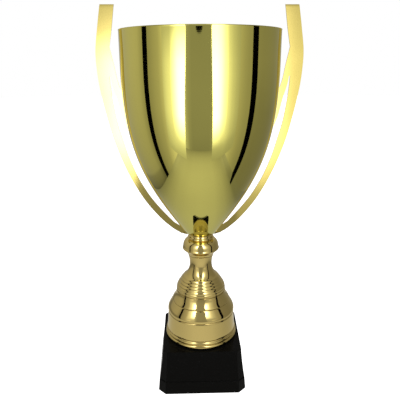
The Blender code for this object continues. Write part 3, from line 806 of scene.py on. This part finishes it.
def make_bowl_fixings(mat):
    low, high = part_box("bowl_seat_plate")
    outline = rounded(
        [
            (BORE_RADIUS, low.z, 0.1 * MM),
            (16.0 * MM, low.z, 0.4 * MM),
            (high.x, low.z + 0.8 * MM, 0.4 * MM),
            (17.2 * MM, low.z + 1.6 * MM, 0.3 * MM),
            (12.0 * MM, high.z, 0.8 * MM),
            (BORE_RADIUS, high.z, 0.2 * MM),
        ]
    )
    plate = add_object("seat_plate_fine", turned_mesh("seat_plate_fine", outline, 96), mat)
    place_piece(plate, "zinc_steel", "bowl_seat_plate")

    low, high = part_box("bowl_washer")
    edge = 0.25 * MM
    outline = [(BORE_RADIUS, low.z), (high.x, low.z), (high.x, high.z), (BORE_RADIUS, high.z)]
    outline = rounded([(x, z, edge) for x, z in outline], 3)
    washer = add_object("bowl_washer_fine", turned_mesh("bowl_washer_fine", outline, 64), mat)
    place_piece(washer, "zinc_steel", "bowl_washer")

    low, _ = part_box("bowl_cap_nut")
    nut = add_object("cap_nut_fine", cap_nut_mesh(low.z), mat)
    bore = [circle(BORE_RADIUS, z, 40) for z in (low.z - 1.0 * MM, low.z + 7.5 * MM)]
    boolean(nut, loft_mesh("cap_nut_bore", bore), "DIFFERENCE")
    settle(nut)
    nut.data.materials.clear()
    nut.data.materials.append(mat)
    nut.data.shade_smooth()
    nut.data.set_sharp_from_angle(angle=math.radians(28))
    place_piece(nut, "zinc_steel", "bowl_cap_nut")


def full_turn(count):
    return [math.tau * step / count for step in range(count)]


def circle(radius, height, count):
    """A ring of points round the axis."""
    return [Vector((radius * math.cos(t), radius * math.sin(t), height)) for t in full_turn(count)]


def cap_nut_mesh(low):
    """A hexagon that runs into a dome: each ring blends from six-sided to round."""
    flat = 5.0 * MM
    neck = 4.75 * MM
    dome_radius = 4.45 * MM
    rises = [(0.0, 0.90), (0.35, 0.97), (0.8, 1.0), (4.9, 1.0), (5.3, 0.965)]
    rings = [blended_ring(low + rise * MM, flat, share) for rise, share in rises]
    rings.append(circle(neck, low + 5.5 * MM, NUT_SEGMENTS))
    rings.append(circle(dome_radius, low + 5.9 * MM, NUT_SEGMENTS))
    for radius, height in arc((0.0, low + 6.9 * MM), dome_radius, 0, 84, 14):
        rings.append(circle(radius, height, NUT_SEGMENTS))
    return loft_mesh("cap_nut_fine", rings, 28)


def blended_ring(height, flat, share):
    """A hexagon's ring whose corners are cut to a circle by the given share of its corner radius."""
    limit = flat / math.cos(math.pi / 6) * share
    ring = []
    for turn in full_turn(NUT_SEGMENTS):
        within = (turn + math.pi / 6) % (math.pi / 3) - math.pi / 6
        radius = min(flat / math.cos(math.pi / 6 - abs(within)), limit)
        ring.append(Vector((radius * math.cos(turn), radius * math.sin(turn), height)))
    return ring


# The base


def cut_corner_square(half, cut, height):
    """The eight corners of a square with its corners cut off."""
    inner = half - cut
    flat = [(half, inner), (inner, half), (-inner, half), (-half, inner)]
    flat += [(-x, -y) for x, y in flat]
    return [Vector((x, y, height)) for x, y in flat]


def base_profile():
    """(half width, height) of the base, from the standing edge to the top."""
    half = BASE_HIGH.x
    upper = half - 7.0 * MM
    sweep = cubic(
        (half - 2.0 * MM, 19.8 * MM),
        (half - 4.2 * MM, 35.0 * MM),
        (upper + 0.8 * MM, 50.0 * MM),
        (upper, BASE_HIGH.z),
        12,
    )
    foot = [(half, BASE_LOW.z), (half - 1.6 * MM, 18.4 * MM), (half - 2.7 * MM, 19.0 * MM)]
    return foot + sweep


def corner_cut(height):
    """How much of each corner is cut off: less towards the top."""
    share = (height - BASE_LOW.z) / (BASE_HIGH.z - BASE_LOW.z)
    return CUT_AT_FOOT + (CUT_AT_TOP - CUT_AT_FOOT) * share


def make_base(mat):
    rings = [cut_corner_square(half, corner_cut(z), z) for half, z in base_profile()]
    base = add_object("base_shell_fine", loft_mesh("base_shell_fine", rings), mat)
    half = BASE_HIGH.x - 3.5 * MM
    bottom = BASE_LOW.z
    roof = BASE_HIGH.z - 3.5 * MM
    recess = [
        cut_corner_square(half, 9.0 * MM, bottom - 4.0 * MM),
        cut_corner_square(half, 9.0 * MM, bottom + 5.2 * MM),
        cut_corner_square(half - 2.2 * MM, 8.0 * MM, bottom + 5.21 * MM),
        cut_corner_square(half - 2.2 * MM, 8.0 * MM, 20.0 * MM),
        cut_corner_square(half - 7.0 * MM, 7.0 * MM, 44.0 * MM),
        cut_corner_square(half - 7.0 * MM, 7.0 * MM, roof),
    ]
    boolean(base, loft_mesh("base_hollow", recess), "DIFFERENCE")
    bore = [circle(BORE_RADIUS, z, 32) for z in (roof - 2.0 * MM, BASE_HIGH.z + 2.0 * MM)]
    boolean(base, loft_mesh("base_bore", bore), "DIFFERENCE")
    settle(base)
    bevel(base, 0.7 * MM, 4, 22)
    settle(base)
    base.data.materials.clear()
    base.data.materials.append(mat)
    place_piece(base, "base_black", "base_shell")


def finish_cad_nodes(mats):
    """The pieces whose CAD shape is right keep it, and get a finished material."""
    slots = {entry["node"]: entry["material_slot"] for entry in frame["record"]["subparts"]}
    for name, obj in frame["nodes"].items():
        if obj.hide_render:
            continue
        obj.data.materials.clear()
        obj.data.materials.append(mats[slots[name]])


# The studio

SWEEP_RADIUS = 6.0
TENT_SIDE = 0.335
TENT_FRONT = -0.54
FLAP_DEPTH = -0.30
FLAP_FOOT = 0.12
DIM_LEFT_FLAP = 0.64
DIM_RIGHT_FLAP = 0.50
TENT_REAR = 0.62
TENT_HEIGHT = 0.95
LEFT_JOIN = -0.11
RIGHT_JOIN = -0.13
CARD_GAP = 0.002
WARM = (1.0, 0.965, 0.90)
COOL = (1.0, 1.0, 1.0)
PALE = (1.0, 0.985, 0.96)
GLARE = (0.94, 0.94, 1.15)


def value_ramp(tree, socket, stops):
    """A value read from (place, level) stops along a coordinate, straight between two stops."""
    first, last = stops[0][0], stops[-1][0]
    peak = max(level for _, level in stops)
    spread = node(tree, "ShaderNodeMapRange", Value=socket)
    spread.inputs["From Min"].default_value = first
    spread.inputs["From Max"].default_value = last
    shares = [((place - first) / (last - first), grey(level / peak)) for place, level in stops]
    made = ramp(tree, spread.outputs["Result"], shares)
    scaled = tree.nodes.new("ShaderNodeMath")
    scaled.operation = "MULTIPLY"
    tree.links.new(made, scaled.inputs[0])
    scaled.inputs[1].default_value = peak
    return scaled.outputs["Value"]


def product_of_ramps(tree, levels):
    """The product of one value ramp for each axis named in levels."""
    place = tree.nodes.new("ShaderNodeTexCoord")
    split = node(tree, "ShaderNodeSeparateXYZ", Vector=place.outputs["Object"])
    total = None
    for axis, stops in levels.items():
        level = value_ramp(tree, split.outputs[axis], stops)
        if total is None:
            total = level
        else:
            product = tree.nodes.new("ShaderNodeMath")
            product.operation = "MULTIPLY"
            tree.links.new(total, product.inputs[0])
            tree.links.new(level, product.inputs[1])
            total = product.outputs["Value"]
    return total


def lit_material(name, colour, least=0.0, glare=None, **levels):
    """A lit surface: a least strength plus the product of one ramp for each axis given. The
    glare's ramps, where there are any, add a second and much brighter light on top."""
    mat = bpy.data.materials.new(name)
    mat.use_nodes = True
    tree = mat.node_tree
    tree.nodes.remove(tree.nodes["Principled BSDF"])
    lifted = tree.nodes.new("ShaderNodeMath")
    lifted.operation = "ADD"
    tree.links.new(product_of_ramps(tree, levels), lifted.inputs[0])
    lifted.inputs[1].default_value = least
    glow = node(tree, "ShaderNodeEmission", Color=(*colour, 1.0), Strength=lifted.outputs["Value"])
    light = glow.outputs["Emission"]
    if glare:
        strength = product_of_ramps(tree, glare)
        burst = node(tree, "ShaderNodeEmission", Color=(*GLARE, 1.0), Strength=strength)
        both = tree.nodes.new("ShaderNodeAddShader")
        tree.links.new(light, both.inputs[0])
        tree.links.new(burst.outputs["Emission"], both.inputs[1])
        light = both.outputs["Shader"]
    tree.links.new(light, tree.nodes["Material Output"].inputs["Surface"])
    return mat


def plain_light(name, strength):
    """A surface of the studio that gives the same white light all over, or none at all."""
    mat = bpy.data.materials.new(name)
    mat.use_nodes = True
    tree = mat.node_tree
    tree.nodes.remove(tree.nodes["Principled BSDF"])
    glow = node(tree, "ShaderNodeEmission", Color=(1.0, 1.0, 1.0, 1.0), Strength=strength)
    tree.links.new(glow.outputs["Emission"], tree.nodes["Material Output"].inputs["Surface"])
    return mat


def card(name, corners, mat):
    """A flat card of the studio that only shows in reflections."""
    bm = bmesh.new()
    bm.faces.new([bm.verts.new(corner) for corner in corners])
    mesh = bpy.data.meshes.new(name)
    bm.to_mesh(mesh)
    bm.free()
    obj = add_object(name, mesh, mat)
    obj.visible_camera = False
    obj.visible_shadow = False
    return obj


def side_card(name, x, near, far, low, high, mat):
    corners = [(x, near, low), (x, far, low), (x, far, high), (x, near, high)]
    return card(name, corners, mat)


def front_card(name, y, left, right, low, high, mat):
    corners = [(left[0], y, low), (right[0], y, low), (right[1], y, high), (left[1], y, high)]
    return card(name, corners, mat)


def disc(name, radius, height, mat):
    bm = bmesh.new()
    bmesh.ops.create_circle(bm, cap_ends=True, segments=96, radius=radius)
    bmesh.ops.translate(bm, verts=bm.verts, vec=(0, 0, height))
    mesh = bpy.data.meshes.new(name)
    bm.to_mesh(mesh)
    bm.free()
    obj = add_object(name, mesh, mat)
    return obj


def camera_only(obj):
    obj.visible_diffuse = False
    obj.visible_glossy = False
    obj.visible_transmission = False
    obj.visible_shadow = False


def make_white_sweep():
    """The pale floor and the backdrop behind it, which the camera sees."""
    mat, tree, shader = new_material("pale_floor")
    mottle = noise(tree, stretched_coordinates(tree, (1, 1, 1)), 3.0, detail=2.0)
    colour = ramp(tree, mottle, ((0.3, grey(0.88)), (0.7, grey(0.90))))
    tree.links.new(colour, shader.inputs["Base Color"])
    shader.inputs["Roughness"].default_value = 0.8
    shader.inputs["Emission Color"].default_value = (1.0, 1.0, 1.0, 1.0)
    shader.inputs["Emission Strength"].default_value = 0.92
    camera_only(disc("floor", SWEEP_RADIUS, 0.0, mat))
    bm = bmesh.new()
    bmesh.ops.create_uvsphere(bm, u_segments=48, v_segments=24, radius=SWEEP_RADIUS * 1.02)
    mesh = bpy.data.meshes.new("backdrop")
    bm.to_mesh(mesh)
    bm.free()
    backdrop = add_object("backdrop", mesh, plain_light("backdrop_white", 1.0))
    camera_only(backdrop)


def slanted(x_high, high, x_low, low, foot, head):
    """Where the straight line through two (x, z) points crosses two other heights."""
    slope = (x_high - x_low) / (high - low)
    return x_low + slope * (foot - low), x_low + slope * (head - low)


def make_flaps():
    """The two bright front flaps: each has a broad soft light and a much brighter core."""
    top = TENT_HEIGHT
    broad = ((-TENT_SIDE, 0.18), (-0.285, 0.50), (-0.228, 0.80), (-0.07, 0.80))
    broad_up = (
        (FLAP_FOOT, 0.06), (0.14, 0.14), (0.15, 0.22), (0.165, 0.34), (0.19, 0.50), (0.225, 0.66),
        (0.255, 0.80), (0.281, 0.92), (0.318, 1.0), (0.43, 1.0), (0.45, 0.92), (0.48, 0.54),
        (0.50, 0.23), (0.54, 0.09), (top, 0.01),
    )
    core = (
        (-TENT_SIDE, 0.0), (-0.228, 0.0), (-0.192, 1.7), (-0.157, 3.9), (-0.128, 4.6),
        (-0.07, 4.6),
    )
    core_up = (
        (FLAP_FOOT, 0.0), (0.17, 0.0), (0.19, 0.03), (0.205, 0.07), (0.215, 0.12), (0.235, 0.28),
        (0.25, 0.42), (0.28, 0.72), (0.31, 1.0), (0.43, 1.0), (0.45, 0.92), (0.48, 0.54),
        (0.50, 0.23), (0.54, 0.09), (top, 0.01),
    )
    glare = {"X": core, "Z": core_up}
    mat = lit_material("left_flap", COOL, DIM_LEFT_FLAP, glare, X=broad, Z=broad_up)
    foot, head = slanted(-0.098, 0.45, -0.1205, 0.23, FLAP_FOOT, top)
    left, right = (-TENT_SIDE, -TENT_SIDE), (foot, head)
    front_card("left_flap", FLAP_DEPTH, left, right, FLAP_FOOT, top, mat)

    broad = ((0.0, 0.86), (0.188, 0.86), (0.231, 0.46), (0.28, 0.24), (TENT_SIDE, 0.10))
    broad_up = (
        (FLAP_FOOT, 0.04), (0.156, 0.12), (0.183, 0.24), (0.201, 0.40), (0.215, 0.58),
        (0.238, 0.76), (0.265, 0.85), (0.289, 0.92), (0.318, 1.0), (0.42, 1.0), (0.45, 0.96),
        (0.48, 0.80), (0.50, 0.72), (0.54, 0.52), (top, 0.2),
    )
    core = ((0.0, 4.6), (0.09, 4.6), (0.121, 3.5), (0.151, 1.3), (0.188, 0.0), (TENT_SIDE, 0.0))
    core_up = (
        (FLAP_FOOT, 0.0), (0.19, 0.0), (0.205, 0.04), (0.221, 0.12), (0.238, 0.24), (0.26, 0.5),
        (0.285, 0.8), (0.31, 1.0), (0.42, 1.0), (0.45, 0.96), (0.48, 0.80), (0.50, 0.72),
        (0.54, 0.52), (top, 0.2),
    )
    glare = {"X": core, "Z": core_up}
    mat = lit_material("right_flap", COOL, DIM_RIGHT_FLAP, glare, X=broad, Z=broad_up)
    foot, head = slanted(0.061, 0.45, 0.078, 0.23, FLAP_FOOT, top)
    left, right = (foot, head), (TENT_SIDE, TENT_SIDE)
    front_card("right_flap", FLAP_DEPTH, left, right, FLAP_FOOT, top, mat)


def make_dim_room(black):
    """What shows between the flaps: the dim room, and the dark clasp that holds them together."""
    across = (
        (-TENT_SIDE, 2.4), (-0.24, 2.2), (-0.17, 1.2), (-0.12, 1.0), (0.10, 1.0), (0.15, 1.1),
        (0.22, 1.8), (TENT_SIDE, 1.9),
    )
    up = ((0.0, 0.31), (0.13, 0.35), (0.35, 0.38), (TENT_HEIGHT, 0.36))
    mat = lit_material("dim_room", COOL, X=across, Z=up)
    left, right = (-TENT_SIDE, -TENT_SIDE), (TENT_SIDE, TENT_SIDE)
    front_card("dim_room", TENT_FRONT, left, right, 0.0, TENT_HEIGHT, mat)
    edge = (
        (-0.066, 0.62), (-0.065, 0.513), (-0.059, 0.507), (-0.045, 0.503), (-0.026, 0.5015),
        (-0.007, 0.503), (0.006, 0.507), (0.012, 0.513), (0.013, 0.62),
    )
    card("clasp", [(x, TENT_FRONT + CARD_GAP, z) for x, z in edge], black)


def make_side_walls(black):
    """The tent's side walls, each in a front and a rear half with a black seam over the join."""
    top = TENT_HEIGHT
    along = (
        (TENT_FRONT, 0.9), (-0.45, 1.2), (-0.35, 1.0), (-0.30, 0.8), (-0.25, 0.58), (-0.20, 0.50),
        (-0.15, 0.40), (LEFT_JOIN, 0.4),
    )
    up = ((0.0, 0.86), (0.1, 0.86), (0.2, 0.88), (0.33, 0.95), (0.45, 1.0), (top, 1.0))
    mat = lit_material("left_front_wall", WARM, Y=along, Z=up)
    side_card("left_front_wall", -TENT_SIDE, TENT_FRONT, LEFT_JOIN, 0.0, top, mat)
    along = (
        (TENT_FRONT, 0.9), (-0.41, 0.9), (-0.35, 0.73), (-0.29, 0.60), (-0.24, 0.50),
        (-0.20, 0.44), (RIGHT_JOIN, 0.40),
    )
    mat = lit_material("right_front_wall", WARM, Y=along, Z=up)
    side_card("right_front_wall", TENT_SIDE, TENT_FRONT, RIGHT_JOIN, 0.0, top, mat)

    along = (
        (LEFT_JOIN, 0.42), (-0.08, 0.46), (-0.04, 0.60), (0.0, 0.62), (0.07, 0.60), (0.16, 0.55),
        (TENT_REAR, 0.5),
    )
    up = (
        (0.0, 0.25), (0.02, 0.35), (0.08, 0.5), (0.1, 0.7), (0.14, 0.76), (0.2, 0.79),
        (0.33, 0.9), (0.45, 1.0), (top, 1.0),
    )
    mat = lit_material("left_rear_wall", WARM, Y=along, Z=up)
    side_card("left_rear_wall", -TENT_SIDE, LEFT_JOIN, TENT_REAR, 0.0, top, mat)
    along = (
        (RIGHT_JOIN, 0.38), (-0.10, 0.36), (-0.05, 0.34), (0.1, 0.32), (0.2, 0.34), (0.35, 0.42),
        (TENT_REAR, 0.45),
    )
    up = ((0.0, 0.74), (0.2, 0.77), (0.33, 0.8), (0.45, 1.0), (top, 1.0))
    mat = lit_material("right_rear_wall", WARM, Y=along, Z=up)
    side_card("right_rear_wall", TENT_SIDE, RIGHT_JOIN, TENT_REAR, 0.0, top, mat)

    side_card("left_seam", CARD_GAP - TENT_SIDE, -0.138, -0.092, 0.0, top, black)
    side_card("right_seam", TENT_SIDE - CARD_GAP, -0.163, -0.106, 0.0, top, black)
    seam_foot = ((TENT_SIDE, -0.163), (TENT_SIDE, -0.106), (0.275, -0.090), (0.275, -0.116))
    card("right_seam_foot", [(x, y, CARD_GAP) for x, y in seam_foot], black)


def make_tent():
    """The light tent round the object: two bright flaps with the lens opening between them, the
    dim room beyond, side walls with a black seam in each, the rear wall and the lit sheet."""
    black = plain_light("black", 0.0)
    make_flaps()
    make_dim_room(black)
    make_side_walls(black)

    mat = lit_material("rear_wall", WARM, Z=((0.0, 0.35), (0.2, 0.45), (TENT_HEIGHT, 0.5)))
    left, right = (-TENT_SIDE, -TENT_SIDE), (TENT_SIDE, TENT_SIDE)
    front_card("rear_wall", TENT_REAR, left, right, 0.0, TENT_HEIGHT, mat)

    across = (
        (-TENT_SIDE, 0.5), (-0.27, 0.72), (-0.2, 0.88), (-0.1, 0.98), (0.0, 1.0), (0.12, 0.95),
        (0.2, 0.78), (0.26, 0.55), (0.285, 0.4), (TENT_SIDE, 0.4),
    )
    deep = (
        (TENT_FRONT, 0.36), (-0.52, 0.44), (-0.46, 0.59), (-0.39, 0.69), (-0.3, 0.74),
        (-0.22, 0.73), (-0.16, 0.70), (-0.08, 0.65), (0.05, 0.60), (0.3, 0.55), (TENT_REAR, 0.5),
    )
    side_light = (
        (-TENT_SIDE, 0.26), (-0.30, 0.24), (-0.27, 0.13), (-0.2, 0.04), (-0.15, 0.0), (0.2, 0.0),
        (0.25, 0.10), (0.27, 0.21), (TENT_SIDE, 0.26),
    )
    front_light = (
        (TENT_FRONT, 1.0), (-0.36, 1.0), (-0.28, 0.6), (-0.2, 0.1), (-0.15, 0.0), (TENT_REAR, 0.0),
    )
    glare = {"X": side_light, "Y": front_light}
    mat = lit_material("sheet", PALE, glare=glare, X=across, Y=deep)
    near, far = TENT_FRONT, TENT_REAR
    corners = ((-TENT_SIDE, near), (TENT_SIDE, near), (TENT_SIDE, far), (-TENT_SIDE, far))
    card("sheet", [(x, y, 0.0) for x, y in corners], mat)


def make_world():
    world = bpy.data.worlds.new("tent_light")
    bpy.context.scene.world = world
    world.use_nodes = True
    background = world.node_tree.nodes["Background"]
    background.inputs["Color"].default_value = (1.0, 0.99, 0.97, 1.0)
    background.inputs["Strength"].default_value = 0.57


def make_camera():
    """The viewing angle: a little below the rim, looking down on the base."""
    distance = 0.601
    height = 0.4482
    azimuth = math.radians(-1.7)
    pitch = math.radians(16.8)
    roll = math.radians(0.2)
    yaw = math.radians(0.076)
    data = bpy.data.cameras.new("camera")
    data.sensor_width = 36.0
    data.lens = 41.22
    data.clip_start = 0.01
    camera = bpy.data.objects.new("camera", data)
    bpy.context.scene.collection.objects.link(camera)
    camera.location = (distance * math.sin(azimuth), -distance * math.cos(azimuth), height)
    turned = Matrix.Rotation(azimuth + yaw, 4, "Z")
    leaned = Matrix.Rotation(math.pi / 2 - pitch, 4, "X") @ Matrix.Rotation(-roll, 4, "Z")
    camera.rotation_euler = (turned @ leaned).to_euler()
    bpy.context.scene.camera = camera


def main():
    mats = {
        "bowl_gold": gold_material(
            "bowl_gold", (0.63, 0.58, 0.148), (0.69, 0.635, 0.162), (0.03, 0.075), 0.2, 0.06
        ),
        "handle_gold": sheet_gold_material(
            "handle_gold", (0.66, 0.53, 0.148), (0.72, 0.59, 0.163), (0.08, 0.16)
        ),
        "riser_gold": gold_material(
            "riser_gold", (0.68, 0.535, 0.19), (0.74, 0.585, 0.21), (0.04, 0.10), 0.1, 0.12
        ),
        "base_black": gloss_black_material("base_black"),
        "cover_black": matt_black_material("cover_black"),
        "zinc_steel": zinc_material("zinc_steel"),
        "cast_iron": iron_material("cast_iron"),
        "felt": felt_material("felt"),
    }
    make_camera()
    make_world()
    make_white_sweep()
    make_tent()

    make_bowl(mats["bowl_gold"])
    make_handle("left", -1, mats["handle_gold"], mats["zinc_steel"])
    make_handle("right", 1, mats["handle_gold"], mats["zinc_steel"])
    make_riser(mats["riser_gold"])
    make_bowl_fixings(mats["zinc_steel"])
    make_base(mats["base_black"])
    finish_cad_nodes(mats)
    bpy.context.scene.view_settings.view_transform = "Standard"


main()
